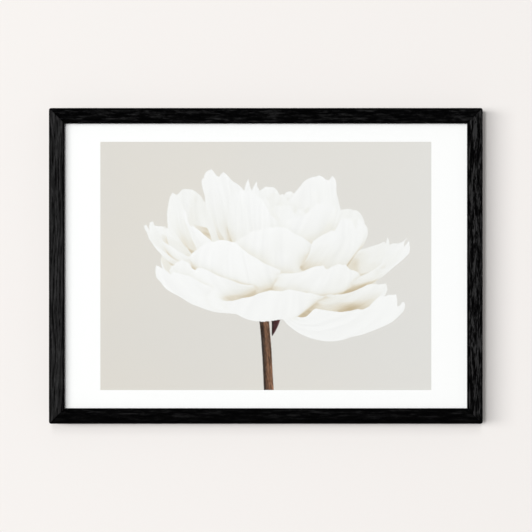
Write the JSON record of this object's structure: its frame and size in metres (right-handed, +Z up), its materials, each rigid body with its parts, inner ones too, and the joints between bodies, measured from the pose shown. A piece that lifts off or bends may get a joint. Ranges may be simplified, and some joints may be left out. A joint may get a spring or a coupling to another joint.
{
  "type": "framed print",
  "caption": "Landscape wall frame of black-stained wood with mitred corners, glazed, holding an A3 flower print with a white border, with swinging D-ring hangers.",
  "frame": {"origin": "the centre of the frame's outline, on the wall plane that the bumpers and the hangers' eyes touch", "axes": "+X right as seen from the front, +Y into the wall, +Z up; the picture faces -Y"},
  "size_m": [0.4414, 0.0261, 0.3214],
  "materials": {
    "black_wood": "open-grained hardwood stained black, thin matt lacquer, pores and grain showing",
    "clear_glass": "clear 2 mm picture glass with ground edges",
    "printed_paper": "matt art paper, white border round a printed picture of a pale blossom on warm grey",
    "backing_fibreboard": "3 mm brown fibreboard, smooth face, fuzzy sawn edge",
    "point_steel": "thin flexible steel strip, black oxide, satin",
    "wedge_steel": "stamped steel, dull grey",
    "nickelled_steel": "nickel-plated steel, bright but lightly scuffed",
    "rubber": "soft black rubber, matt"
  },
  "bodies": {
    "frame": {"rail_bottom": "black_wood", "rail_left": "black_wood", "rail_top": "black_wood", "rail_right": "black_wood", "steel_point_bottom_1": "point_steel", "steel_point_bottom_2": "point_steel", "steel_point_bottom_3": "point_steel", "steel_point_left_1": "point_steel", "steel_point_left_2": "point_steel", "steel_point_top_1": "point_steel", "steel_point_top_2": "point_steel", "steel_point_top_3": "point_steel", "steel_point_right_1": "point_steel", "steel_point_right_2": "point_steel", "mitre_wedge_bottom_left_back": "wedge_steel", "mitre_wedge_bottom_left_front": "wedge_steel", "mitre_wedge_top_left_back": "wedge_steel", "mitre_wedge_top_left_front": "wedge_steel", "mitre_wedge_top_right_back": "wedge_steel", "mitre_wedge_top_right_front": "wedge_steel", "mitre_wedge_bottom_right_back": "wedge_steel", "mitre_wedge_bottom_right_front": "wedge_steel", "glass_pane": "clear_glass", "print_sheet": "printed_paper", "backing_board": "backing_fibreboard", "hanger_strap_left": "nickelled_steel", "hanger_screw_left": "nickelled_steel", "bumper_left": "rubber", "hanger_strap_right": "nickelled_steel", "hanger_screw_right": "nickelled_steel", "bumper_right": "rubber"},
    "left_ring": {"hanger_ring_left": "nickelled_steel"},
    "right_ring": {"hanger_ring_right": "nickelled_steel"}
  },
  "joints": [
    {"name": "left_ring_swing", "type": "hinge", "parent": "frame", "child": "left_ring", "pos_m": [-0.2146, -0.002, 0.088], "axis": [-1, 0, 0], "range_deg": [0, 166]},
    {"name": "right_ring_swing", "type": "hinge", "parent": "frame", "child": "right_ring", "pos_m": [0.2146, -0.002, 0.088], "axis": [-1, 0, 0], "range_deg": [0, 166]}
  ]
}
